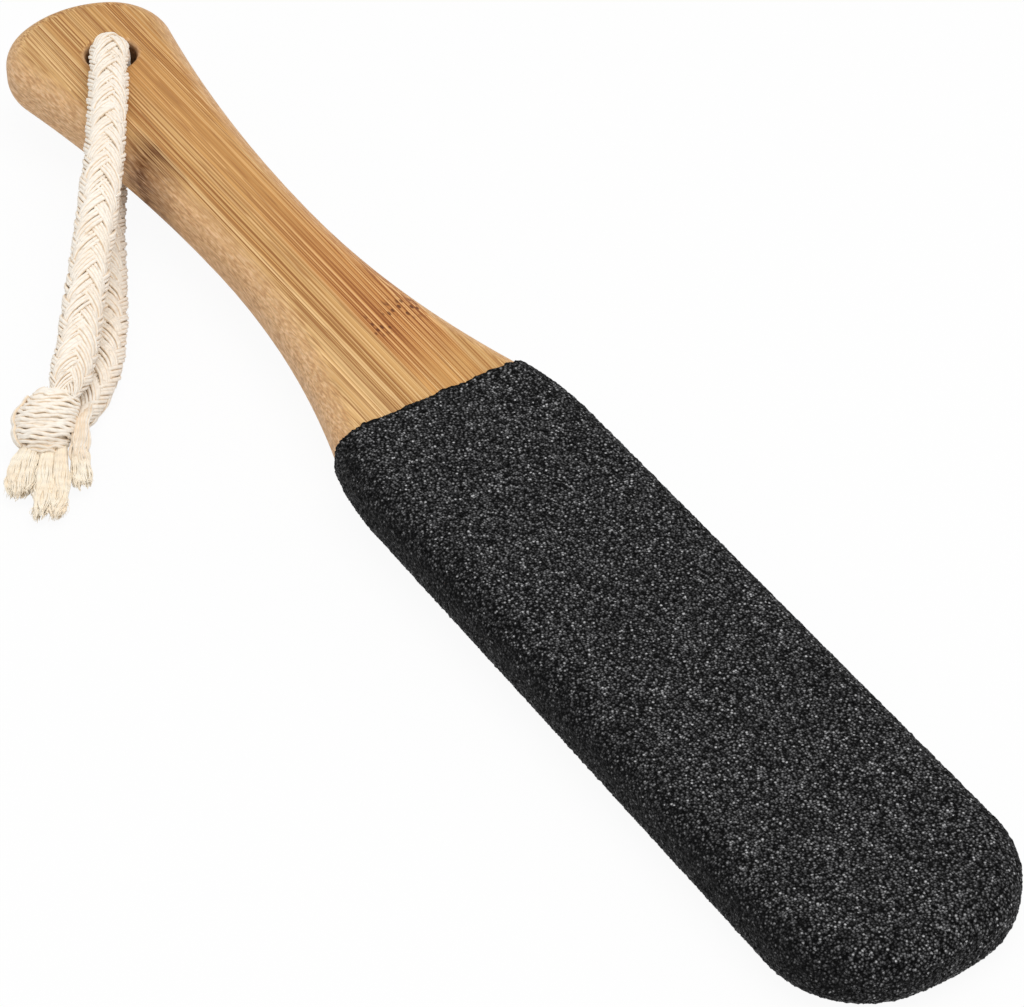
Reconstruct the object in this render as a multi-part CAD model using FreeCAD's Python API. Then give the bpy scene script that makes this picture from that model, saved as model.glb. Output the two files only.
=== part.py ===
import FreeCAD, Part
import math
import os
from FreeCAD import Vector

# Foot file: a glued bamboo paddle with a grit-coated head and a knotted cotton hanging loop.
# Lengths are millimetres. +X runs from the butt to the head, +Z is the coarse face.
# The origin is the middle of the paddle's bounding box.

# Bare bamboo board
board_length = 279.3
board_width = 42.4
board_thickness = 11.0
edge_round = 4.5

# Outline of the board, from the butt to the head, stations measured from the butt
butt_end_radius = 20.5
butt_corner_radius = 12.6
butt_side_radius = 322.0
neck_station = 77.5
neck_width = 20.0
head_side_radius = 184.0
shoulder_radius = 57.0
head_corner_radius = 17.0
head_end_radius = 53.0

# Glued strips that make up the board
strip_width = 5.5
strips_per_side = 4

# Hanging hole
hole_diameter = 9.4
hole_station = 19.7
hole_offset = 1.2
hole_rim_round = 1.2

# Grit coats on the head
coat_thickness = 0.7
coat_station = 134.6

# Cotton rope: its route from the knot, over the coarse face, through the hole and back to the knot
rope_diameter = 6.8
rope_corner_rise = 4.1
rope_front_run = [
    Vector(-45.4, -49.9, -0.8),
    Vector(-50.8, -45.0, -0.6),
    Vector(-60.1, -38.1, 0.8),
    Vector(-72.2, -29.3, 4.6),
    Vector(-86.9, -18.4, 8.6),
    Vector(-106.8, -6.5, 9.4),
]
rope_rear_run = [
    Vector(-107.5, -7.6, -9.4),
    Vector(-88.9, -18.4, -8.9),
    Vector(-70.0, -28.0, -8.4),
    Vector(-57.0, -36.1, -8.1),
    Vector(-50.0, -43.2, -7.9),
    Vector(-45.6, -50.4, -7.7),
]
bend_share = 0.45

# Stopper knot: two turns of rope round the strands
knot_centre = Vector(-44.3, -52.5, -4.2)
knot_heading = -51.5
knot_turn_radius = 3.7
knot_strand_radius = 3.2
knot_turn_spacing = 5.2
knot_turn_tilt = 12.0
knot_core_length = 8.8

# Frayed rope ends
tail_neck_radius = 2.4
tail_flare_radius = 3.4
left_tail_tip = Vector(-36.2, -65.2, -7.0)
middle_tail_tip = Vector(-25.8, -63.6, -7.0)
right_tail_tip = Vector(-29.6, -55.4, -7.6)
right_tail_share = 0.7

# Places worked out from the sizes above
overall_length = board_length + coat_thickness
butt_x = -overall_length / 2
head_tip_x = butt_x + board_length
half_board = board_thickness / 2
hole_x = butt_x + hole_station
coat_x = butt_x + coat_station
neck_x = butt_x + neck_station


def circle_crossing(first, first_reach, second, second_reach):
    """Point at the two given distances from two centres, on the side with the smaller x."""
    apart = second - first
    along = (apart.Length ** 2 + first_reach ** 2 - second_reach ** 2) / (2 * apart.Length)
    aside = math.sqrt(first_reach ** 2 - along ** 2)
    unit = apart / apart.Length
    across = Vector(-unit.y, unit.x, 0)
    return min(
        first + unit * along + across * aside,
        first + unit * along - across * aside,
        key=lambda point: point.x,
    )


def towards(start, goal, distance):
    """Point at a distance from start in the direction of goal."""
    return start + (goal - start).normalize() * distance


def arc_edge(centre, radius, start, end):
    """Arc from start to end, the short way round a centre."""
    middle = towards(centre, (start + end) * 0.5, radius)
    return Part.Arc(start, middle, end).toShape()


def mirrored(point):
    """The same point on the other side of the paddle's long axis."""
    return Vector(point.x, -point.y, point.z)


def paddle_outline(grow):
    """Closed outline of tangent arcs, moved outward by grow."""
    half_width = board_width / 2
    butt_centre = Vector(butt_x + butt_end_radius, 0, 0)
    butt_side = Vector(neck_x, neck_width / 2 + butt_side_radius, 0)
    head_side = Vector(neck_x, neck_width / 2 + head_side_radius, 0)
    butt_corner = circle_crossing(
        butt_centre, butt_end_radius - butt_corner_radius,
        butt_side, butt_side_radius + butt_corner_radius,
    )
    shoulder_drop = head_side.y - (half_width - shoulder_radius)
    shoulder_run = math.sqrt((head_side_radius + shoulder_radius) ** 2 - shoulder_drop ** 2)
    shoulder = Vector(neck_x + shoulder_run, half_width - shoulder_radius, 0)
    head_centre = Vector(head_tip_x - head_end_radius, 0, 0)
    corner_y = half_width - head_corner_radius
    corner_run = math.sqrt((head_end_radius - head_corner_radius) ** 2 - corner_y ** 2)
    head_corner = Vector(head_centre.x + corner_run, corner_y, 0)

    butt_to_corner = towards(butt_centre, butt_corner, butt_end_radius + grow)
    corner_to_side = towards(butt_side, butt_corner, butt_side_radius - grow)
    neck = Vector(neck_x, neck_width / 2 + grow, 0)
    side_to_shoulder = towards(head_side, shoulder, head_side_radius - grow)
    shoulder_to_head = Vector(shoulder.x, half_width + grow, 0)
    head_to_corner = Vector(head_corner.x, half_width + grow, 0)
    corner_to_end = towards(head_centre, head_corner, head_end_radius + grow)
    butt_tip = Vector(butt_x - grow, 0, 0)
    head_tip = Vector(head_tip_x + grow, 0, 0)

    arcs = [
        (butt_corner, butt_corner_radius + grow, butt_to_corner, corner_to_side),
        (butt_side, butt_side_radius - grow, corner_to_side, neck),
        (head_side, head_side_radius - grow, neck, side_to_shoulder),
        (shoulder, shoulder_radius + grow, side_to_shoulder, shoulder_to_head),
        (head_corner, head_corner_radius + grow, head_to_corner, corner_to_end),
    ]
    edges = [
        Part.Arc(butt_to_corner, butt_tip, mirrored(butt_to_corner)).toShape(),
        Part.Arc(corner_to_end, head_tip, mirrored(corner_to_end)).toShape(),
        Part.makeLine(shoulder_to_head, head_to_corner),
        Part.makeLine(mirrored(shoulder_to_head), mirrored(head_to_corner)),
    ]
    for centre, radius, start, end in arcs:
        edges.append(arc_edge(centre, radius, start, end))
        edges.append(arc_edge(mirrored(centre), radius, mirrored(start), mirrored(end)))
    return Part.Wire(Part.__sortEdges__(edges))


def slab(grow, low, high):
    """Flat plate with the paddle's outline between two heights."""
    outline = paddle_outline(grow)
    outline.translate(Vector(0, 0, low))
    return Part.Face(outline).extrude(Vector(0, 0, high - low))


def rounded_paddle(grow):
    """The paddle's body with its long edges rounded, moved outward by grow on every side."""
    height = half_board + grow
    plate = slab(grow, -height, height)
    rim = [edge for edge in plate.Edges if abs(abs(edge.CenterOfMass.z) - height) < 1e-6]
    return plate.makeFillet(edge_round + grow, rim)


def region(x_low, x_high, y_low, y_high):
    """Block that reaches past both faces of the paddle, for cutting pieces out of it."""
    reach = board_thickness + 2 * coat_thickness
    corner = Vector(x_low, y_low, -reach)
    return Part.makeBox(x_high - x_low, y_high - y_low, 2 * reach, corner)


def bored_board():
    """Bare board with the rounded hanging hole."""
    body = rounded_paddle(0)
    start = Vector(hole_x, hole_offset, -board_thickness)
    body = body.cut(Part.makeCylinder(hole_diameter / 2, 2 * board_thickness, start))
    rims = []
    for edge in body.Edges:
        round_edge = isinstance(edge.Curve, Part.Circle)
        if round_edge and abs(edge.Curve.Radius - hole_diameter / 2) < 1e-6:
            rims.append(edge)
    return body.makeFillet(hole_rim_round, rims)


def bamboo_strips():
    """Board sawn along the glue lines; the neck and the hole part some strips into two pieces."""
    board = bored_board()
    x_low = butt_x - board_width
    x_high = head_tip_x + board_width
    parted_at = {"right_1": hole_x, "left_3": neck_x, "right_3": neck_x}
    strips = {}
    for side, sign in (("left", -1), ("right", 1)):
        for count in range(1, strips_per_side + 1):
            near = strip_width * (count - 1)
            far = board_width if count == strips_per_side else strip_width * count
            low, high = sorted((sign * near, sign * far))
            place = f"{side}_{count}"
            name = f"bamboo_strip_{place}"
            if place in parted_at:
                parting = parted_at[place]
                strips[name + "_butt"] = board.common(region(x_low, parting, low, high))
                strips[name + "_head"] = board.common(region(parting, x_high, low, high))
            else:
                strips[name] = board.common(region(x_low, x_high, low, high))
    return strips


def grit_coats():
    """Coarse coat wrapped round the head, and the fine sheet on the flat of the rear face."""
    ahead = region(coat_x, head_tip_x + board_width, -board_width, board_width)
    rear = slab(-edge_round, -half_board - coat_thickness, -half_board).common(ahead)
    front = rounded_paddle(coat_thickness).common(ahead).cut(rounded_paddle(0)).cut(rear)
    return {"coarse_grit_coat": front, "fine_grit_sheet": rear}


def rope_route():
    """Route points of the hanging rope, from knot to knot."""
    corner = half_board + rope_corner_rise
    bore = [Vector(hole_x, hole_offset, corner), Vector(hole_x, hole_offset, -corner)]
    return rope_front_run + bore + rope_rear_run


def rope_path(points):
    """Straight runs joined by tangent arcs, and the least bend radius."""
    edges = []
    start = points[0]
    radii = []
    for before, bend, after in zip(points, points[1:], points[2:]):
        back = before - bend
        ahead = after - bend
        half_turn = (math.pi - back.getAngle(ahead)) / 2
        reach = bend_share * min(back.Length, ahead.Length)
        radii.append(reach / math.tan(half_turn))
        arc_start = towards(bend, before, reach)
        arc_end = towards(bend, after, reach)
        bisector = (back.normalize() + ahead.normalize()).normalize()
        sagitta = radii[-1] * (1 / math.cos(half_turn) - 1)
        arc_middle = bend + bisector * sagitta
        edges.append(Part.LineSegment(start, arc_start).toShape())
        edges.append(Part.Arc(arc_start, arc_middle, arc_end).toShape())
        start = arc_end
    edges.append(Part.LineSegment(start, points[-1]).toShape())
    return Part.Wire(edges), radii


def hang_rope():
    """The rope as one tube along its route."""
    points = rope_route()
    path, radii = rope_path(points)
    ring = Part.Circle(points[0], points[1] - points[0], rope_diameter / 2)
    rope = path.makePipeShell([Part.Wire(ring.toShape())], True, False)
    section = math.pi * rope_diameter ** 2 / 4
    print("rope bend radii", [round(radius, 1) for radius in radii])
    print("rope length", round(path.Length, 1), "volume ratio", round(rope.Volume / (section * path.Length), 4))
    return rope


def knot_axis():
    """Direction through the knot from the strands to the tails."""
    heading = math.radians(knot_heading)
    return Vector(math.cos(heading), math.sin(heading), 0)


def knot_body():
    """Two tilted turns of rope and the strands held inside them."""
    axis = knot_axis()
    turns = []
    for side in (-1, 1):
        tilt = FreeCAD.Rotation(Vector(0, 0, 1), side * knot_turn_tilt)
        centre = knot_centre + axis * (side * knot_turn_spacing / 2)
        turns.append(Part.makeTorus(knot_turn_radius, knot_strand_radius, centre, tilt.multVec(axis)))
    core_start = knot_centre - axis * (knot_core_length / 2)
    core = Part.makeCylinder(knot_turn_radius, knot_core_length, core_start, axis)
    return core.fuse(turns).removeSplitter()


def tuft(tip, neck_radius, flare_radius):
    """Frayed rope end that flares from inside the knot to a domed tip."""
    base = knot_centre + knot_axis() * (knot_turn_spacing / 2)
    length = (tip - base).Length
    flare_height = length - flare_radius
    dome_side = Vector(flare_radius * math.sqrt(0.5), 0, flare_height + flare_radius * math.sqrt(0.5))
    start = Vector(0, 0, 0)
    neck = Vector(neck_radius, 0, 0)
    flare = Vector(flare_radius, 0, flare_height)
    end = Vector(0, 0, length)
    edges = [
        Part.makeLine(start, neck),
        Part.makeLine(neck, flare),
        Part.Arc(flare, dome_side, end).toShape(),
        Part.makeLine(end, start),
    ]
    body = Part.Face(Part.Wire(edges)).revolve(start, Vector(0, 0, 1), 360)
    turn = FreeCAD.Rotation(Vector(0, 0, 1), tip - base)
    body.Placement = FreeCAD.Placement(base, turn)
    return body


def knotted_rope():
    """Rope, knot and frayed tails, each seated against the next without overlap."""
    rope = hang_rope()
    whole_knot = knot_body()
    middle = tuft(middle_tail_tip, tail_neck_radius, tail_flare_radius)
    right = tuft(right_tail_tip, tail_neck_radius * right_tail_share, tail_flare_radius * right_tail_share)
    left = tuft(left_tail_tip, tail_neck_radius, tail_flare_radius)
    right_tail = middle.fuse(right).cut(whole_knot)
    left_tail = left.cut(whole_knot).cut(right_tail)
    return {
        "hang_rope": rope,
        "rope_knot": whole_knot.cut(rope),
        "rope_tail_left": left_tail,
        "rope_tail_right": right_tail,
    }


pieces = {}
pieces.update(bamboo_strips())
pieces.update(grit_coats())
pieces.update(knotted_rope())

os.makedirs("parts", exist_ok=True)
for name, shape in pieces.items():
    solid = shape.Solids[0] if len(shape.Solids) == 1 else shape
    print(name, "solids", len(shape.Solids), "valid", shape.isValid(), "volume", round(shape.Volume, 1))
    solid.exportStep(f"parts/{name}.step")
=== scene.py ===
import math
import random

import bpy
import numpy as np
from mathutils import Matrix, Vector, noise


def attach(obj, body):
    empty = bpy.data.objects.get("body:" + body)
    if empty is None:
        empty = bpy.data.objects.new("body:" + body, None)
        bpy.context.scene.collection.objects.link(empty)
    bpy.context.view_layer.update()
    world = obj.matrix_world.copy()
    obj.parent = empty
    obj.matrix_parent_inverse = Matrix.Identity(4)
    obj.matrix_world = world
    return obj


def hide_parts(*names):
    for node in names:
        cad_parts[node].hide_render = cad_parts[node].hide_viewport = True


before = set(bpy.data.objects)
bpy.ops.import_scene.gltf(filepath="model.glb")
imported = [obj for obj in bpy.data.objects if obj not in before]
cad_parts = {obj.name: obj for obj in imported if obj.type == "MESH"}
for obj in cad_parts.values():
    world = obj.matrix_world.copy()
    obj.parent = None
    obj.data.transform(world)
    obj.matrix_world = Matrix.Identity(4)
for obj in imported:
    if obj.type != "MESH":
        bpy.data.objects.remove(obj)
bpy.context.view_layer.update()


# Bamboo board: upright strips split from a bamboo culm, planed, glued side by side, shaped and sanded.
# Fibre bundles run along every strip, as lines on the faces and as dots where the sides cut them.
# A strip that holds one of the culm's nodes has a dark ragged band or a row of dark pits there.
strip_width = 0.0055
hole_centre = (-0.1203, 0.0012, 0)
hole_radius = 0.0047


def paint(red, green, blue):
    """A screen colour, 0 to 255 each, as the linear colour that a shader takes."""
    linear = []
    for level in (red, green, blue):
        share = level / 255
        linear.append(share / 12.92 if share <= 0.04045 else ((share + 0.055) / 1.055) ** 2.4)
    return (*linear, 1)


def new_finish(name):
    """An empty material and its main shader."""
    finish = bpy.data.materials.new(name)
    finish.use_nodes = True
    return finish, finish.node_tree.nodes["Principled BSDF"]


def add_node(finish, kind, settings=None, **inputs):
    """A shader node with its settings, its sockets set to values or linked to other nodes' sockets."""
    node = finish.node_tree.nodes.new("ShaderNode" + kind)
    for name, value in (settings or {}).items():
        setattr(node, name, value)
    for name, value in inputs.items():
        join(finish, value, node.inputs[int(name[1:]) if name[0] == "_" else name.replace("_", " ")])
    return node


def join(finish, value, socket):
    """Links a socket to another node's output, or sets its value."""
    if isinstance(value, bpy.types.NodeSocket):
        finish.node_tree.links.new(value, socket)
    else:
        socket.default_value = value


def stretched(finish, shift, scale):
    """Object coordinates, moved and scaled along each axis."""
    place = add_node(finish, "TexCoord").outputs["Object"]
    return add_node(finish, "Mapping", Vector=place, Location=shift, Scale=scale).outputs["Vector"]


def ramp(finish, factor, stops):
    """A colour ramp with (position, colour) stops."""
    node = add_node(finish, "ValToRGB", Fac=factor)
    while len(node.color_ramp.elements) < len(stops):
        node.color_ramp.elements.new(0.5)
    for element, (position, colour) in zip(node.color_ramp.elements, stops):
        element.position = position
        element.color = colour
    return node.outputs["Color"]


def grey(level):
    """A grey for a ramp's stop."""
    return (level, level, level, 1)


def blended(finish, factor, below, above, mode="MIX"):
    """One colour laid over another."""
    settings = {"data_type": "RGBA", "blend_type": mode}
    return add_node(finish, "Mix", settings, _0=factor, _6=below, _7=above).outputs[2]


def worked(finish, operation, first, second=0):
    """Two numbers put together, or one number changed."""
    return add_node(finish, "Math", {"operation": operation}, _0=first, _1=second).outputs[0]


def measured(finish, operation, first, second=(0, 0, 0)):
    """A vector operation's node on two vectors, or on one."""
    return add_node(finish, "VectorMath", {"operation": operation}, _0=first, _1=second)


def fibre_noise(finish, shift, along, across, detail):
    """Noise drawn out along the fibres, with its cells per metre along and across them."""
    place = stretched(finish, shift, (along, across, across))
    return add_node(finish, "TexNoise", Vector=place, Scale=1, Detail=detail).outputs["Fac"]


def spread(finish, value, low, high):
    """A number from 0 at one value to 1 at another."""
    return add_node(finish, "MapRange", Value=value, From_Min=low, From_Max=high).outputs["Result"]


def bamboo_finish(name, shift, pale, warm, dark_node=None, spotted_node=None):
    """Sanded bamboo with fibre bundles along X, and a dark or a spotted node if the strip has one."""
    finish, shader = new_finish(name)
    place = add_node(finish, "TexCoord")
    spot = add_node(finish, "SeparateXYZ", Vector=place.outputs["Object"])
    facing = add_node(finish, "SeparateXYZ", Vector=place.outputs["Normal"]).outputs["Y"]
    flank = spread(finish, worked(finish, "ABSOLUTE", facing), 0.15, 0.80)
    colour = ramp(finish, fibre_noise(finish, shift, 4, 520, 2), [(0.30, pale), (0.70, warm)])
    # Fibre bundles: thin dark and pale lines, in crowds.
    line = fibre_noise(finish, shift, 3, 3400, 1.2)
    dark_line = ramp(finish, line, [(0.53, grey(0)), (0.59, grey(1))])
    pale_line = ramp(finish, line, [(0.36, grey(0.95)), (0.44, grey(0))])
    crowd = ramp(finish, fibre_noise(finish, shift, 4, 330, 2), [(0.40, grey(0.35)), (0.60, grey(0.9))])
    topside = worked(finish, "SUBTRACT", 1, worked(finish, "MULTIPLY", flank, 0.75))
    line_share = worked(finish, "MULTIPLY", crowd, topside)
    dark_share = worked(finish, "MULTIPLY", dark_line, line_share)
    colour = blended(finish, dark_share, colour, paint(153, 99, 50))
    pale_share = worked(finish, "MULTIPLY", pale_line, line_share)
    colour = blended(finish, pale_share, colour, paint(234, 197, 144))
    dash = ramp(finish, fibre_noise(finish, shift, 70, 3000, 1), [(0.57, grey(0)), (0.63, grey(0.6))])
    colour = blended(finish, dash, colour, paint(158, 106, 58))
    from_glue = worked(finish, "PINGPONG", spot.outputs["Y"], strip_width / 2)
    glue = spread(finish, from_glue, 0.00020, 0.00006)
    colour = blended(finish, worked(finish, "MULTIPLY", glue, 0.45), colour, paint(226, 186, 132))
    # The sanded side cuts across the bundles, so it is less yellow and finely mottled; it is also painted
    # paler than the top, painted light that makes up for the shade the side gets.
    colour = blended(finish, worked(finish, "MULTIPLY", flank, 0.75), colour, paint(217, 175, 131))
    mottle = fibre_noise(finish, shift, 520, 2700, 2)
    dark_dot = ramp(finish, mottle, [(0.50, grey(0)), (0.64, grey(0.65))])
    pale_dot = ramp(finish, mottle, [(0.36, grey(0.65)), (0.48, grey(0))])
    colour = blended(finish, worked(finish, "MULTIPLY", dark_dot, flank), colour, paint(176, 128, 86))
    colour = blended(finish, worked(finish, "MULTIPLY", pale_dot, flank), colour, paint(233, 196, 157))
    fibre = fibre_noise(finish, shift, 26, 4600, 2)
    fibre_tone = ramp(finish, fibre, [(0.30, grey(0.82)), (0.70, grey(1.15))])
    colour = blended(finish, 0.85, colour, fibre_tone, "MULTIPLY")
    if dark_node is not None:
        # A ragged band that starts dark and fades towards the head, further on down the flank.
        ragged = fibre_noise(finish, shift, 150, 1500, 3)
        wander = worked(finish, "MULTIPLY", worked(finish, "SUBTRACT", ragged, 0.5), 0.009)
        lean = worked(finish, "MULTIPLY", spot.outputs["Z"], 0.45)
        reach = worked(finish, "ADD", worked(finish, "ADD", spot.outputs["X"], lean), wander)
        fading = [(0, grey(0)), (0.18, grey(0.45)), (0.38, grey(1)), (0.52, grey(0.75)), (1, grey(0))]
        band = ramp(finish, spread(finish, reach, dark_node, dark_node + 0.022), fading)
        torn = ramp(finish, line, [(0.38, grey(0.45)), (0.56, grey(1))])
        colour = blended(finish, worked(finish, "MULTIPLY", band, torn), colour, paint(98, 56, 24))
    if spotted_node is not None:
        # The wood reddens towards the node, which is a row of dark pits, and is pale again behind it.
        before = spread(finish, spot.outputs["X"], spotted_node - 0.045, spotted_node)
        behind = spread(finish, spot.outputs["X"], spotted_node + 0.016, spotted_node + 0.002)
        near_node = worked(finish, "MULTIPLY", before, behind)
        colour = blended(finish, worked(finish, "MULTIPLY", near_node, 0.5), colour, paint(190, 118, 58))
        deep_line = ramp(finish, line, [(0.50, grey(0)), (0.56, grey(0.9))])
        deep_share = worked(finish, "MULTIPLY", deep_line, near_node)
        colour = blended(finish, deep_share, colour, paint(136, 76, 34))
        bright_line = ramp(finish, line, [(0.38, grey(0.8)), (0.45, grey(0))])
        bright_share = worked(finish, "MULTIPLY", bright_line, near_node)
        colour = blended(finish, bright_share, colour, paint(236, 190, 132))
        pit_place = stretched(finish, shift, (520, 1150, 1150))
        pits = add_node(finish, "TexVoronoi", Vector=pit_place, Scale=1)
        pit = ramp(finish, pits.outputs["Distance"], [(0.24, grey(0.9)), (0.38, grey(0))])
        past_pits = worked(finish, "SUBTRACT", spot.outputs["X"], spotted_node - 0.001)
        near_pits = spread(finish, worked(finish, "ABSOLUTE", past_pits), 0.0042, 0.0014)
        pit_share = worked(finish, "MULTIPLY", pit, near_pits)
        colour = blended(finish, pit_share, colour, paint(92, 48, 20))
    # Painted shade: the wall of the hanging hole is darkened to dark brown, where it lies in shadow.
    from_hole = measured(finish, "SUBTRACT", place.outputs["Object"], hole_centre).outputs["Vector"]
    flat = measured(finish, "MULTIPLY", from_hole, (1, 1, 0)).outputs["Vector"]
    distance = measured(finish, "LENGTH", flat).outputs["Value"]
    painted_hole_shade = spread(finish, distance, hole_radius + 0.0005, hole_radius)
    colour = blended(finish, worked(finish, "MULTIPLY", painted_hole_shade, 0.85), colour, paint(84, 50, 24))
    join(finish, colour, shader.inputs["Base Color"])
    shader.inputs["Roughness"].default_value = 0.55
    shader.inputs["Specular IOR Level"].default_value = 0.2
    grain = worked(finish, "SUBTRACT", fibre, dark_share)
    bump = add_node(finish, "Bump", Strength=0.3, Distance=0.0001, Height=grain)
    join(finish, bump.outputs["Normal"], shader.inputs["Normal"])
    return finish


butt_node_x = -0.0960
pale_bamboo = (paint(211, 170, 115), paint(202, 159, 103))
warm_bamboo = (paint(206, 162, 104), paint(195, 146, 86))
red_bamboo = (paint(206, 157, 96), paint(197, 144, 82))
strips = [
    ("bamboo_strip_left_1", warm_bamboo, None, None),
    ("bamboo_strip_left_2", pale_bamboo, butt_node_x, None),
    ("bamboo_strip_left_3_butt", pale_bamboo, butt_node_x, None),
    ("bamboo_strip_left_3_head", pale_bamboo, None, None),
    ("bamboo_strip_left_4", warm_bamboo, None, None),
    ("bamboo_strip_right_1_butt", warm_bamboo, None, None),
    ("bamboo_strip_right_1_head", red_bamboo, None, -0.0255),
    ("bamboo_strip_right_2", red_bamboo, None, -0.0270),
    ("bamboo_strip_right_3_butt", warm_bamboo, None, None),
    ("bamboo_strip_right_3_head", warm_bamboo, None, None),
    ("bamboo_strip_right_4", pale_bamboo, None, None),
]
for number, (strip, tones, dark_node, spotted_node) in enumerate(strips):
    shift = (0.31 * number, 0.0173 * number, 0.0291 * number)
    finish = bamboo_finish(strip, shift, *tones, dark_node, spotted_node)
    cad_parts[strip].data.materials.clear()
    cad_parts[strip].data.materials.append(finish)


# Coarse grit coat: black grains bonded in resin round the front, sides and end of the head.
# The coat is cut off square across the head, where its broken edge stands a little above the bamboo.
def grit_skin(name, node, cell):
    """A grit layer's own copy, remeshed fine enough to carry grains."""
    skin = bpy.data.objects.new(name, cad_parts[node].data.copy())
    bpy.context.scene.collection.objects.link(skin)
    bpy.ops.object.select_all(action="DESELECT")
    skin.select_set(True)
    bpy.context.view_layer.objects.active = skin
    bpy.ops.object.mode_set(mode="EDIT")
    bpy.ops.mesh.select_all(action="SELECT")
    bpy.ops.mesh.remove_doubles(threshold=0.000001)
    bpy.ops.object.mode_set(mode="OBJECT")
    remesh = skin.modifiers.new("grains", "REMESH")
    remesh.mode = "VOXEL"
    remesh.voxel_size = cell
    bpy.ops.object.modifier_apply(modifier=remesh.name)
    return skin


def drop_faces(skin, unwanted):
    """Deletes the faces that a test picks."""
    bpy.ops.object.mode_set(mode="EDIT")
    bpy.ops.mesh.select_all(action="DESELECT")
    bpy.ops.object.mode_set(mode="OBJECT")
    for face in skin.data.polygons:
        face.select = unwanted(face)
    bpy.ops.object.mode_set(mode="EDIT")
    bpy.ops.mesh.select_mode(type="FACE")
    bpy.ops.mesh.delete(type="FACE")
    bpy.ops.object.mode_set(mode="OBJECT")


def roughen(skin, grain_size, grain_height, jitter, seed):
    """Lays the skin out flat for its colours, raises grains out of it and shakes its points about."""
    bpy.ops.object.mode_set(mode="EDIT")
    bpy.ops.mesh.select_all(action="SELECT")
    bpy.ops.uv.smart_project(angle_limit=math.radians(60), island_margin=0.002)
    bpy.ops.object.mode_set(mode="OBJECT")
    skin.data.uv_layers.active.name = "OFBake"
    grains = bpy.data.textures.new(skin.name, "VORONOI")
    grains.noise_scale = grain_size
    grains.distance_metric = "DISTANCE"
    swell = skin.modifiers.new("swell", "DISPLACE")
    swell.texture = grains
    swell.strength = grain_height
    swell.mid_level = 0.5
    bpy.ops.object.modifier_apply(modifier=swell.name)
    bpy.ops.object.mode_set(mode="EDIT")
    bpy.ops.mesh.select_all(action="SELECT")
    bpy.ops.transform.vertex_random(offset=jitter, uniform=0.2, normal=0.6, seed=seed)
    bpy.ops.object.mode_set(mode="OBJECT")
    bpy.ops.object.shade_flat()


def grit_finish(name, grain_size, tones, cut_x=None):
    """Black grains in resin: every grain has its own tone and shine, and the gaps are black; the palest
    tones are painted glints, and the sides and cut edge get painted shade.
    """
    finish, shader = new_finish(name)
    scale = 1 / grain_size
    grain = add_node(finish, "TexVoronoi", Vector=stretched(finish, (0, 0, 0), (scale,) * 3), Scale=1)
    tone = add_node(finish, "SeparateColor", Color=grain.outputs["Color"])
    # The palest tones, at the ramp's top, are painted glints that stand in for the grains' shine.
    levels = [paint(level, level, level + 1) for level in tones]
    colour = ramp(finish, tone.outputs["Red"], list(zip((0, 0.50, 0.90, 1), levels)))
    gap = ramp(finish, grain.outputs["Distance"], [(0.14, grey(1)), (0.64, grey(0.03))])
    colour = blended(finish, 1, colour, gap, "MULTIPLY")
    # Painted shade: the sides facing along Y are darkened towards black, as if lit less than the flats.
    place = add_node(finish, "TexCoord")
    facing = add_node(finish, "SeparateXYZ", Vector=place.outputs["Normal"]).outputs["Y"]
    side = spread(finish, worked(finish, "ABSOLUTE", facing), 0.20, 0.80)
    colour = blended(finish, worked(finish, "MULTIPLY", side, 0.65), colour, paint(14, 14, 15))
    # Painted shadow: a black band along the cut edge, where the coat's broken wall stands in shade.
    if cut_x is not None:
        along = add_node(finish, "SeparateXYZ", Vector=place.outputs["Object"]).outputs["X"]
        near_cut = spread(finish, along, cut_x + 0.0009, cut_x)
        colour = blended(finish, near_cut, colour, paint(10, 10, 11))
    join(finish, colour, shader.inputs["Base Color"])
    shine = ramp(finish, tone.outputs["Green"], [(0, grey(0.3)), (1, grey(0.65))])
    join(finish, shine, shader.inputs["Roughness"])
    shader.inputs["Specular IOR Level"].default_value = 0.03
    bump = add_node(finish, "Bump", Strength=0.7, Distance=0.0002, Height=gap)
    join(finish, bump.outputs["Normal"], shader.inputs["Normal"])
    return finish


def faces_board(face):
    """Whether a face of the coat looks in towards the board, not out."""
    place = face.center
    spine = Vector((min(max(place.x, 0.010), 0.116), 0.55 * place.y, 0))
    return face.normal.dot(place - spine) < 0


coarse_coat = grit_skin("coarse_grit_grains", "coarse_grit_coat", cell=0.000355)
drop_faces(coarse_coat, faces_board)
cut_x = -0.0054
cut_raggedness = 0.0005
for vertex in coarse_coat.data.vertices:
    near_cut = max(0, 1 - (vertex.co.x - cut_x) / 0.002)
    swing = noise.noise(Vector((0, vertex.co.y, vertex.co.z)) / 0.0035)
    swing += 0.6 * noise.noise(Vector((9, vertex.co.y, vertex.co.z)) / 0.0011)
    vertex.co.x += cut_raggedness * near_cut * swing
roughen(coarse_coat, grain_size=0.00062, grain_height=0.00032, jitter=0.00008, seed=5)
coarse_coat.data.materials.clear()
coarse_coat.data.materials.append(grit_finish("coarse_black_grit", 0.00043, (27, 86, 137, 206), cut_x))
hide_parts("coarse_grit_coat")
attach(coarse_coat, "file")


# Fine grit sheet: finer black grit on the flat of the rear face, for smoothing after the coarse side.
# It lies inside the edge of the coarse coat, flush with it.
fine_sheet = grit_skin("fine_grit_grains", "fine_grit_sheet", cell=0.0004)
drop_faces(fine_sheet, lambda face: face.normal.z > 0.7)
roughen(fine_sheet, grain_size=0.0003, grain_height=0.0001, jitter=0.00004, seed=6)
fine_sheet.data.materials.clear()
fine_sheet.data.materials.append(grit_finish("fine_black_grit", 0.00027, (27, 75, 114, 172)))
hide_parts("fine_grit_sheet")
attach(fine_sheet, "file")


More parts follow.
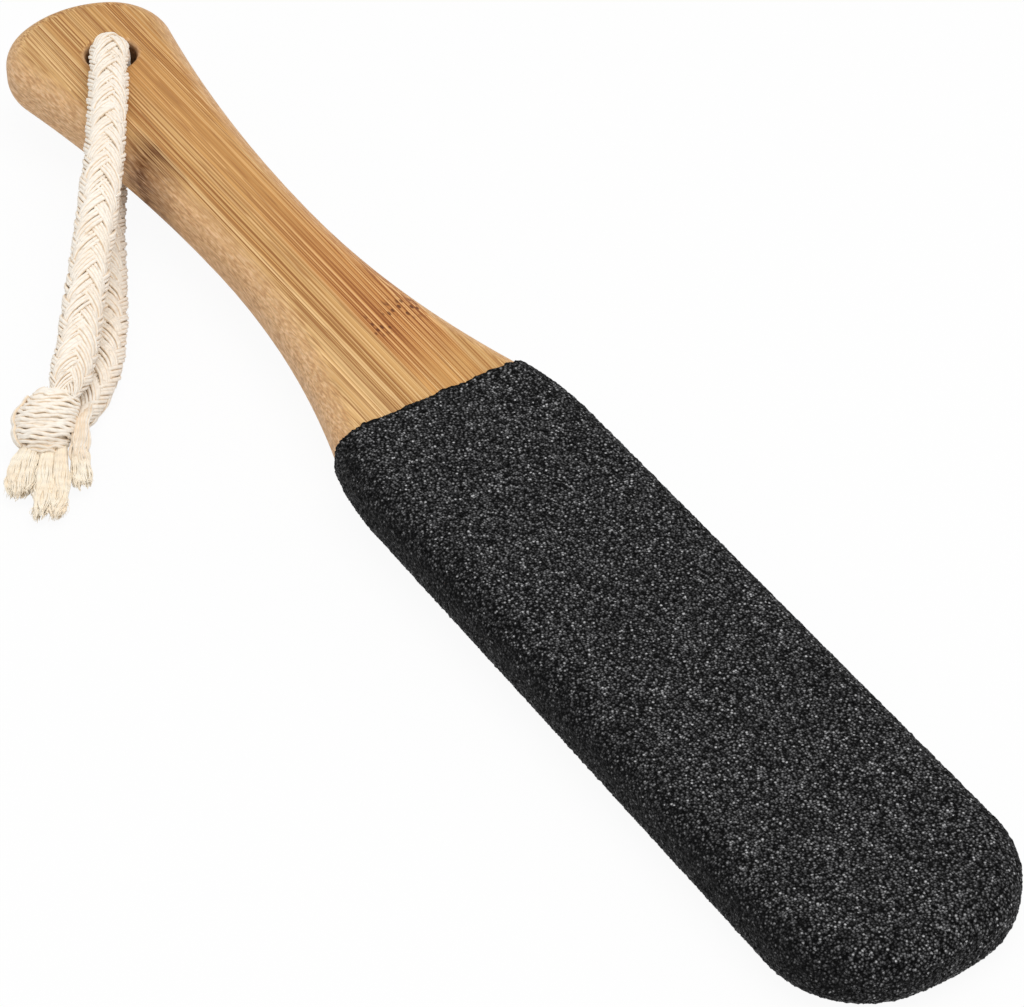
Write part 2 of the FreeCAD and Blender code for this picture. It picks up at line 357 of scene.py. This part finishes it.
# Hanging rope: soft cotton rope, braided two over two from twelve strands of four yarns round a core.
# It comes up out of the knot, lies over the handle, goes down through the hole and runs back below.
rope_route = [
    (-0.0454, -0.0499, -0.0008),
    (-0.0508, -0.0450, -0.0006),
    (-0.0601, -0.0381, 0.0008),
    (-0.0722, -0.0293, 0.0046),
    (-0.0869, -0.0184, 0.0086),
    (-0.1068, -0.0065, 0.0094),
    (-0.1203, 0.0012, 0.0096),
    (-0.1203, 0.0012, -0.0096),
    (-0.1075, -0.0076, -0.0094),
    (-0.0889, -0.0184, -0.0089),
    (-0.0700, -0.0280, -0.0084),
    (-0.0570, -0.0361, -0.0081),
    (-0.0500, -0.0432, -0.0079),
    (-0.0456, -0.0504, -0.0077),
]


def smooth_line(route, points_per_run):
    """Points along the smooth line that a route's points pull after them."""
    curve = bpy.data.curves.new("route", "CURVE")
    curve.dimensions = "3D"
    spline = curve.splines.new("NURBS")
    spline.points.add(len(route) - 1)
    for point, place in zip(spline.points, route):
        point.co = (*place, 1)
    spline.order_u = 3
    spline.use_endpoint_u = True
    spline.resolution_u = points_per_run
    guide = bpy.data.objects.new("route", curve)
    mesh = bpy.data.meshes.new_from_object(guide)
    line = np.array([vertex.co for vertex in mesh.vertices])
    bpy.data.objects.remove(guide)
    bpy.data.curves.remove(curve)
    bpy.data.meshes.remove(mesh)
    return line


def run_along(line):
    """Distance along a line at each of its points, the direction there and two directions square to it."""
    steps = np.linalg.norm(np.diff(line, axis=0), axis=1)
    run = np.concatenate([[0], np.cumsum(steps)])
    ahead = np.gradient(line, run, axis=0)
    ahead /= np.linalg.norm(ahead, axis=1)[:, None]
    first = np.cross(ahead[0], (0, 0, 1) if abs(ahead[0][2]) < 0.9 else (1, 0, 0))
    across = [first / np.linalg.norm(first)]
    for direction in ahead[1:]:
        turned = across[-1] - direction * np.dot(across[-1], direction)
        across.append(turned / np.linalg.norm(turned))
    across = np.array(across)
    return run, ahead, across, np.cross(ahead, across)


def add_yarn(yarns, path, outwards, width, depth, sides, turn_length=0.0016):
    """Adds one yarn to a heap: a closed tube along a path, wide along the surface and deep outwards."""
    run, ahead, _, _ = run_along(path)
    sideways = np.cross(ahead, outwards)
    sideways /= np.linalg.norm(sideways, axis=1)[:, None]
    upright = np.cross(sideways, ahead)
    width = np.broadcast_to(width, len(path))
    depth = np.broadcast_to(depth, len(path))
    first = sum(len(part) for part in yarns["points"])
    number, girth = len(yarns["sizes"]), math.pi * float(width.max() + depth.max())
    yarns["sizes"].append((girth, float(run[-1])))
    angles = [2 * math.pi * side / sides for side in range(sides)]
    ring = [path + sideways * (width * math.cos(a))[:, None] + upright * (depth * math.sin(a))[:, None]
            for a in angles]
    yarns["points"].append(np.stack(ring, axis=1).reshape(-1, 3))
    for row in range(len(path) - 1):
        here, there = float(run[row]), float(run[row + 1])
        low, high = first + row * sides, first + (row + 1) * sides
        for side in range(sides):
            beside = (side + 1) % sides
            yarns["faces"].append((low + side, low + beside, high + beside, high + side))
            left, right = side / sides, (side + 1) / sides
            for share, distance in ((left, here), (right, here), (right, there), (left, there)):
                yarns["twist"].append((distance / turn_length + share, share))
                yarns["strip"].append((number, share, distance))
    last = first + (len(path) - 1) * sides
    yarns["faces"].append(tuple(first + side for side in reversed(range(sides))))
    yarns["faces"].append(tuple(last + side for side in range(sides)))
    cap = 0.3 * min(girth, float(run[-1]))
    for middle, order in ((cap, reversed(angles)), (float(run[-1]) - cap, angles)):
        for a in order:
            yarns["twist"].append((0, 0.25))
            yarns["strip"].append((number, 0.5 + 0.3 * math.cos(a), middle + cap * math.sin(a)))


def no_yarns():
    """An empty heap of yarns."""
    return {"points": [], "faces": [], "twist": [], "strip": [], "sizes": []}


def add_braid(yarns, line, diameter, breadth, lay_length, looseness, seed):
    """Adds a rope braided two over two along a line, a little broader than it is high."""
    chance = random.Random(seed)
    run, _, across, up = run_along(line)
    drawn_at = 0.0072
    thick = np.broadcast_to(diameter, len(line)) / drawn_at
    middle, sway, yarn_depth = 0.00278 * thick, 0.00029 * thick, 0.00036 * thick
    lean = math.atan(2 * math.pi * float(middle.max()) / lay_length)
    strands_each_way = 6
    yarn_places = (-1.5, -0.5, 0.5, 1.5)
    strand_gap = 2 * math.pi / strands_each_way
    yarn_gap = strand_gap / len(yarn_places) * 0.95
    overlap = 1.28
    yarn_width = middle * yarn_gap * math.cos(lean) / 2 * overlap
    beats = 2 * strands_each_way * run / lay_length
    for way in (1, -1):
        for strand in range(strands_each_way):
            bulge = chance.uniform(0, 6.3)
            for yarn in yarn_places:
                wander = np.sin(run / chance.uniform(0.003, 0.007) + chance.uniform(0, 6.3))
                aside = yarn * yarn_gap + 0.03 * looseness * wander
                angle = strand * strand_gap + way * 2 * math.pi * run / lay_length + aside
                beat = beats + way * aside / strand_gap
                if way > 0:
                    weave = np.cos(math.pi / 2 * (beat + 2 * strand - 0.5))
                else:
                    weave = -np.cos(math.pi / 2 * (2 * strand - beat - 0.5))
                out = middle + sway * np.clip(1.4 * weave, -1, 1)
                slack = np.sin(run / chance.uniform(0.003, 0.008) + chance.uniform(0, 6.3))
                slack = 0.00009 * thick * looseness * (slack + 0.6 * np.sin(run / 0.0055 + bulge))
                outwards = across * (breadth * np.cos(angle))[:, None] + up * np.sin(angle)[:, None]
                size = chance.uniform(0.88, 1.12)
                path = line + outwards * (out + slack)[:, None]
                add_yarn(yarns, path, outwards, yarn_width * size, yarn_depth * size, sides=6)
    core = middle * 0.95
    add_yarn(yarns, line, across, core, core * breadth, sides=18)


def add_fuzz(yarns, line, reach, count, seed, shy_of):
    """Adds loose cotton fibres that stand off a rope, except near a place where it is rubbed smooth."""
    chance = random.Random(seed)
    _, ahead, across, up = run_along(line)
    smooth_within = 0.013
    for _ in range(count):
        here = chance.randrange(2, len(line) - 2)
        if math.dist(line[here], shy_of) < smooth_within:
            continue
        turn = chance.uniform(0, 2 * math.pi)
        out = across[here] * math.cos(turn) + up[here] * math.sin(turn)
        round_about = np.cross(ahead[here], out)
        drift = ahead[here] * chance.uniform(-1, 1) + round_about * chance.uniform(-1, 1)
        length = chance.uniform(0.0006, 0.0017)
        start = line[here] + out * reach
        path = np.array([start + drift * length * t + out * length * (0.25 * t - 0.35 * (t - 0.5) ** 2)
                         for t in (0, 0.33, 0.67, 1)])
        add_yarn(yarns, path, np.array([out] * len(path)), 0.00004, 0.00004, sides=3)


def laid_out(sizes):
    """Places for the yarns' unrolled strips, side by side on shelves, and the side of their square."""
    broad = 1.15 * math.sqrt(sum(girth * length for girth, length in sizes))
    places = [(0, 0)] * len(sizes)
    aside = shelf = tall = 0
    for number in sorted(range(len(sizes)), key=lambda number: -sizes[number][1]):
        girth, length = sizes[number]
        if aside + girth > broad:
            aside, shelf, tall = 0, shelf + tall, 0
        places[number] = (aside, shelf)
        aside += 1.08 * girth
        tall = max(tall, 1.02 * length)
    return np.array(places), max(broad, shelf + tall)


def spun(name, yarns, finish):
    """Makes a heap of yarns one piece, with the yarns' twist and their unrolled strips as UV maps."""
    mesh = bpy.data.meshes.new(name)
    mesh.from_pydata(np.concatenate(yarns["points"]).tolist(), [], yarns["faces"])
    twist = mesh.uv_layers.new(name="twist")
    twist.data.foreach_set("uv", np.array(yarns["twist"], dtype=np.float32).ravel())
    places, square = laid_out(yarns["sizes"])
    strip = np.array(yarns["strip"])
    number = strip[:, 0].astype(int)
    girth = np.array(yarns["sizes"])[number, 0]
    unrolled = places[number] + np.stack([strip[:, 1] * girth, strip[:, 2]], axis=1)
    baked = mesh.uv_layers.new(name="OFBake")
    baked.data.foreach_set("uv", (unrolled / square).astype(np.float32).ravel())
    mesh.polygons.foreach_set("use_smooth", [True] * len(mesh.polygons))
    piece = bpy.data.objects.new(name, mesh)
    bpy.context.scene.collection.objects.link(piece)
    piece.data.materials.append(finish)
    return piece


def cotton_finish(name, shade, light, painted_seam_shade):
    """Undyed cotton yarn: twisted fibres with painted shade in their grooves, cream patches, and tan
    painted shade where the yarns meet.
    """
    finish, shader = new_finish(name)
    patch = fibre_noise(finish, (0.2, 0, 0), 260, 260, 3)
    colour = ramp(finish, patch, [(0.33, shade), (0.62, light)])
    twist = add_node(finish, "UVMap", {"uv_map": "twist"}).outputs["UV"]
    strand = add_node(finish, "TexWave", Vector=twist, Scale=math.pi / 10)
    # Painted shade: the grooves between the twisted fibres are darkened a little.
    painted_groove_shade = ramp(finish, strand.outputs["Fac"], [(0, grey(0.93)), (0.5, grey(1))])
    colour = blended(finish, 1, colour, painted_groove_shade, "MULTIPLY")
    # Painted shade: tan lines along each yarn's sides, where it meets its neighbours.
    round_yarn = add_node(finish, "SeparateXYZ", Vector=twist).outputs["Y"]
    round_angle = worked(finish, "MULTIPLY", round_yarn, 2 * math.pi)
    sideways = worked(finish, "ABSOLUTE", worked(finish, "COSINE", round_angle))
    painted_seam_share = worked(finish, "MULTIPLY", spread(finish, sideways, 0.75, 1), painted_seam_shade)
    colour = blended(finish, painted_seam_share, colour, paint(226, 192, 146))
    join(finish, colour, shader.inputs["Base Color"])
    shader.inputs["Roughness"].default_value = 0.9
    shader.inputs["Specular IOR Level"].default_value = 0.15
    shader.inputs["Sheen Weight"].default_value = 0.15
    bump = add_node(finish, "Bump", Strength=0.25, Distance=0.0001, Height=strand.outputs["Fac"])
    join(finish, bump.outputs["Normal"], shader.inputs["Normal"])
    return finish


cotton = cotton_finish("cotton_yarn", paint(248, 236, 220), paint(252, 244, 232), painted_seam_shade=0.55)
rope_line = smooth_line(rope_route, 22)
# The hole squeezes the rope a little, and the knot squeezes its two ends.
from_hole = np.linalg.norm(rope_line - np.array(hole_centre), axis=1)
rope_thickness = np.interp(from_hole, (0.010, 0.022), (0.0071, 0.0074))
rope_run = run_along(rope_line)[0]
from_end = np.minimum(rope_run, rope_run[-1] - rope_run)
rope_thickness = rope_thickness * np.interp(from_end, (0, 0.006), (0.58, 1))
rope_yarns = no_yarns()
add_braid(rope_yarns, rope_line, rope_thickness, breadth=1.08, lay_length=0.0275, looseness=1.4, seed=11)
add_fuzz(rope_yarns, rope_line, reach=0.0033, count=1000, seed=12, shy_of=hole_centre)
rope = spun("braided_rope", rope_yarns, cotton)
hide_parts("hang_rope")
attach(rope, "hang_loop")


# Stopper knot: the rope's two ends tied together, with loosened yarn wound round them from end to end.
# The windings close over the rope's ends, and one loose strand runs down beside them on the right.
knot_centre = Vector((-0.0443, -0.0525, -0.0042))
knot_heading = math.radians(-51.5)
knot_along = Vector((math.cos(knot_heading), math.sin(knot_heading), 0))
knot_aside = Vector((-knot_along.y, knot_along.x, 0))
knot_up = Vector((0, 0, 1))


def in_knot(along, aside, up):
    """A place in the knot, in millimetres along it, to its right and up."""
    return knot_centre + (knot_along * along + knot_aside * aside + knot_up * up) / 1000


wrap_heading = math.radians(-32.8)
wrap_tilt = math.radians(42)
wrap_front = Vector((math.cos(wrap_heading), math.sin(wrap_heading), 0))
wrap_aside = Vector((-wrap_front.y, wrap_front.x, 0))
wrap_out = wrap_front * math.sin(wrap_tilt) + knot_up * math.cos(wrap_tilt)
wrap_down = wrap_front * math.cos(wrap_tilt) - knot_up * math.sin(wrap_tilt)
# Half the windings' width and depth, and their length, in millimetres.
wrap_width = 5.3
wrap_depth = 4.2
wrap_length = 11.4
wrap_middle = in_knot(0.4, -1.3, 0)


def knot_axis(share):
    """The middle of the windings, from -1 at the top, where they lean over to the rope, to 1 below."""
    lean = 2.0 * max(0, -share) ** 1.5 - 0.5 * max(0, share)
    return wrap_middle + (wrap_down * share * wrap_length / 2 + wrap_aside * lean) / 1000


def knot_girth(share):
    """How far out the windings lie, as a share: they close in at the top and at the bottom."""
    if share < 0:
        return math.sqrt(max(0.02, 1 - 0.68 * share ** 2 - 0.3 * share ** 12))
    return math.sqrt(max(0.02, 1 - 0.97 * share ** 2))


def on_knot(share, turn, rise=0.0):
    """A place on the windings, turned round them from their front. They are deeper at the back."""
    girth = knot_girth(share)
    hollow = 0.4 * abs(math.cos(1.5 * math.pi * (share + 0.12 * math.sin(turn)))) ** 6
    aside = (wrap_width * girth + rise - hollow) * math.sin(turn)
    deep = wrap_depth if math.cos(turn) > 0 else 1.5 * wrap_depth
    out = (deep * girth + rise - hollow) * math.cos(turn)
    return knot_axis(share) + (wrap_aside * aside + wrap_out * out) / 1000


def knot_yarn(yarns, places, thickness):
    """Adds a yarn that lies on the knot."""
    path = np.array(places)
    add_yarn(yarns, path, path - np.array(wrap_middle), thickness, 0.9 * thickness, sides=7)


knot_yarns = no_yarns()
wrap_turns = 18
steps_per_turn = 44
wound_thickness = 0.00041
wound = []
for step in range(wrap_turns * steps_per_turn + 1):
    turn = 2 * math.pi * step / steps_per_turn + math.pi
    share = 2 * step / (wrap_turns * steps_per_turn) - 1
    row = step // steps_per_turn
    wave = 0.07 * noise.noise(Vector((2.6 * math.sin(turn), 2.6 * math.cos(turn), 4.5 * share)))
    wave += 0.020 * math.sin(6 * turn + 2.1 * row)
    rise = 0.35 * noise.noise(Vector((1.7 * math.sin(turn), 1.7 * math.cos(turn), 2.9 * share + 7)))
    wound.append(on_knot(share + wave, turn, rise))
knot_yarn(knot_yarns, wound, wound_thickness)
cap_turns = 5
cap_reach = 0.14
cap = []
for step in range(cap_turns * steps_per_turn + 1):
    share = cap_reach * step / (cap_turns * steps_per_turn) - 1
    cap.append(on_knot(share, 2 * math.pi * step / steps_per_turn, 0.1))
knot_yarn(knot_yarns, cap, wound_thickness)
edge_yarns = 6
for yarn in range(edge_yarns):
    turn = math.radians(-112 + 7 * yarn)
    edge = [on_knot(0.08 * step - 0.8, turn + 0.012 * step, 0.55) for step in range(20)]
    knot_yarn(knot_yarns, edge, 0.00036)
core_shares = np.linspace(-0.92, 0.97, 25)
core_girth = 0.00098 * np.array([knot_girth(share) for share in core_shares])
core_line = np.array([knot_axis(share) for share in core_shares])
core_width = core_girth * (wrap_width - 1.0)
core_depth = core_girth * (wrap_depth - 0.2)
core_facing = np.array([wrap_out] * len(core_line))
add_yarn(knot_yarns, core_line, core_facing, core_width, core_depth, sides=28)


def add_lock(yarns, places, width, height, count, thickness, seed):
    """Adds a lock of fibres round a soft core, in clumps that wave together, with a few stray wisps."""
    chance = random.Random(seed)
    spreads = np.interp(np.linspace(0, 1, len(places)), (0, 0.6, 1), (0.6, 1.12, 0.95))
    clumps = []
    for _ in range(9):
        wave_length = chance.uniform(0.0007, 0.0012)
        wave_start = chance.uniform(0, 2 * math.pi)
        bend = chance.uniform(0, 2 * math.pi)
        clump_short = chance.uniform(-0.4, 1.5)
        clumps.append((wave_length, wave_start, bend, clump_short))
    core = smooth_line([in_knot(*place) for place in places], 10)
    run, ahead, _, _ = run_along(core)
    share = run / run[-1]
    inside = 0.00046 * np.interp(share, (0, 1), (spreads[0], spreads[-1]))
    inside = inside * np.sqrt(np.clip(1 - share ** 4, 0.03, 1))
    drawn_in = core - ahead * (0.0014 * share)[:, None]
    facing = np.array([wrap_out] * len(core))
    add_yarn(yarns, drawn_in, facing, inside * width, inside * height, sides=12)
    for fibre in range(count):
        stray = fibre % 6 == 5
        turn = chance.uniform(0, 2 * math.pi)
        clump = int(turn / (2 * math.pi) * len(clumps)) % len(clumps)
        wave_length, wave_start, bend, clump_short = clumps[clump]
        off = math.sqrt(chance.uniform(0.35, 1))
        aside, lift = off * math.cos(turn) * width / 2, off * math.sin(turn) * height / 2
        shorter = clump_short + chance.uniform(-0.4, 0.7) + 1.6 * off ** 4
        route = [in_knot(*place) + (wrap_aside * aside + wrap_out * lift) * spread_here / 1000
                 for place, spread_here in zip(places, spreads)]
        route[-1] = route[-1] - (route[-1] - route[-2]).normalized() * shorter / 1000
        line = smooth_line(route, 10)
        run, _, across, up = run_along(line)
        share = run / run[-1]
        wave_size = chance.uniform(0.0005, 0.0009) if stray else 0.00042
        swing = wave_size * share * np.sin(run / wave_length + wave_start + chance.uniform(-0.5, 0.5))
        bend += chance.uniform(-2, 2) if stray else chance.uniform(-0.3, 0.3)
        line = line + (across * math.cos(bend) + up * math.sin(bend)) * swing[:, None]
        thick = thickness * chance.uniform(0.8, 1.2) * np.sqrt(np.clip(1.02 - share ** 6, 0.06, 1))
        if stray:
            thick = 0.45 * thick
        add_yarn(yarns, line, across, thick, thick, sides=5)


side_places = [(-9.0, 2.2, -2.6), (-5.0, 3.5, -0.2), (-0.5, 4.6, 0), (3.0, 5.8, -2.2), (5.2, 6.8, -4.0)]
add_lock(knot_yarns, side_places, 2.9, 2.4, count=46, thickness=0.00034, seed=22)
knot = spun("stopper_knot", knot_yarns, cotton)
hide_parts("rope_knot")
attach(knot, "hang_loop")


# Frayed tails: the rope's two cut ends, unlaid into loose cotton, which spreads below the knot in tufts.
# One end lies to the left; the other has parted into two locks in the middle and one on the right.
tail_cotton = cotton_finish("frayed_cotton", paint(249, 234, 211), paint(252, 243, 226), painted_seam_shade=0.06)
tail_fibre = 0.00017
left_yarns = no_yarns()
left_places = [(2.0, -2.2, -1.8), (6.2, -2.6, -2.9), (9.8, -2.0, -4.2), (15.4, -0.4, -4.7)]
add_lock(left_yarns, left_places, 4.9, 3.0, count=230, thickness=tail_fibre, seed=31)
left_tail = spun("frayed_tail_left", left_yarns, tail_cotton)
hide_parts("rope_tail_left")
right_yarns = no_yarns()
inner_places = [(2.5, 0.2, -2.2), (6.6, 1.0, -3.0), (11.6, 2.9, -4.2), (18.8, 5.0, -4.9)]
outer_places = [(2.5, 2.4, -2.2), (6.4, 3.8, -3.0), (11.2, 6.0, -4.3), (17.6, 7.4, -4.9)]
right_places = [(0.6, 5.0, -1.6), (3.6, 6.3, -2.8), (6.4, 7.5, -4.2), (9.6, 8.7, -4.9)]
add_lock(right_yarns, inner_places, 3.0, 2.4, count=130, thickness=tail_fibre, seed=32)
add_lock(right_yarns, outer_places, 2.7, 2.2, count=120, thickness=tail_fibre, seed=33)
add_lock(right_yarns, right_places, 3.4, 2.6, count=150, thickness=tail_fibre, seed=34)
right_tail = spun("frayed_tail_right", right_yarns, tail_cotton)
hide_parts("rope_tail_right")
for tail in (left_tail, right_tail):
    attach(tail, "hang_loop")


# Floor: a white table that the file lies on, with its handle raised a little by the rope below it.
# It is a plain sheet that shows white and keeps the file's soft shadow.
bpy.ops.mesh.primitive_plane_add(size=6)
floor = bpy.context.object
floor.name = "white_table"
floor_slope = 0.02696
rope_rest_x = -0.110
rope_rest_z = -0.0133
for vertex in floor.data.vertices:
    vertex.co.z = rope_rest_z + floor_slope * (vertex.co.x - rope_rest_x)
white_table, table_shader = new_finish("white_table")
table_shader.inputs["Base Color"].default_value = (0.8, 0.8, 0.8, 1)
table_shader.inputs["Roughness"].default_value = 0.8
rays = add_node(white_table, "LightPath")
seen = worked(white_table, "MAXIMUM", rays.outputs["Is Camera Ray"], rays.outputs["Is Glossy Ray"])
seen = worked(white_table, "MAXIMUM", seen, rays.outputs["Is Transmission Ray"])
shown_white = add_node(white_table, "Emission", Color=(1, 1, 1, 1), Strength=1.0)
white_share = worked(white_table, "MULTIPLY", seen, 0.94)
mixed = add_node(white_table, "MixShader", Fac=white_share, _1=table_shader.outputs[0])
join(white_table, shown_white.outputs[0], mixed.inputs[2])
join(white_table, mixed.outputs[0], white_table.node_tree.nodes["Material Output"].inputs["Surface"])
floor.data.materials.append(white_table)


# Studio: an even white room, one large soft lamp overhead, and the camera.
# The camera stands where the photograph was taken from.
world = bpy.data.worlds.new("white_room")
bpy.context.scene.world = world
world.use_nodes = True
sky = world.node_tree.nodes["Background"]
sky.inputs["Color"].default_value = (1, 1, 1, 1)
sky.inputs["Strength"].default_value = 0.70
world_rays = world.node_tree.nodes.new("ShaderNodeLightPath")
seen_sky = world.node_tree.nodes.new("ShaderNodeBackground")
seen_sky.inputs["Strength"].default_value = 1.0
either = world.node_tree.nodes.new("ShaderNodeMixShader")
seen_rays = world_rays.outputs["Is Camera Ray"]
for kind in ("Is Glossy Ray", "Is Transmission Ray"):
    widest = world.node_tree.nodes.new("ShaderNodeMath")
    widest.operation = "MAXIMUM"
    world.node_tree.links.new(seen_rays, widest.inputs[0])
    world.node_tree.links.new(world_rays.outputs[kind], widest.inputs[1])
    seen_rays = widest.outputs[0]
world.node_tree.links.new(seen_rays, either.inputs["Fac"])
world.node_tree.links.new(sky.outputs[0], either.inputs[1])
world.node_tree.links.new(seen_sky.outputs[0], either.inputs[2])
world.node_tree.links.new(either.outputs[0], world.node_tree.nodes["World Output"].inputs["Surface"])


def add_lamp(name, place, aim, size, power):
    """A square soft lamp that faces a point."""
    bpy.ops.object.light_add(type="AREA", location=place)
    lamp = bpy.context.object
    lamp.name = name
    lamp.data.size = size
    lamp.data.energy = power
    lamp.rotation_euler = (Vector(aim) - Vector(place)).to_track_quat("-Z", "Y").to_euler()


add_lamp("key_lamp", (0.20, 0.03, 0.83), aim=(-0.02, 0, 0), size=0.6, power=3.7)

camera_data = bpy.data.cameras.new("camera")
camera_data.lens = 148.5
camera_data.sensor_width = 36
camera = bpy.data.objects.new("camera", camera_data)
bpy.context.scene.collection.objects.link(camera)
camera.location = (0.4536, -0.2806, 0.4746)
looking = Vector((-0.61896, 0.39961, -0.67616))
camera.rotation_euler = looking.to_track_quat("-Z", "Y").to_euler()
bpy.context.scene.camera = camera
bpy.context.scene.view_settings.view_transform = "Standard"
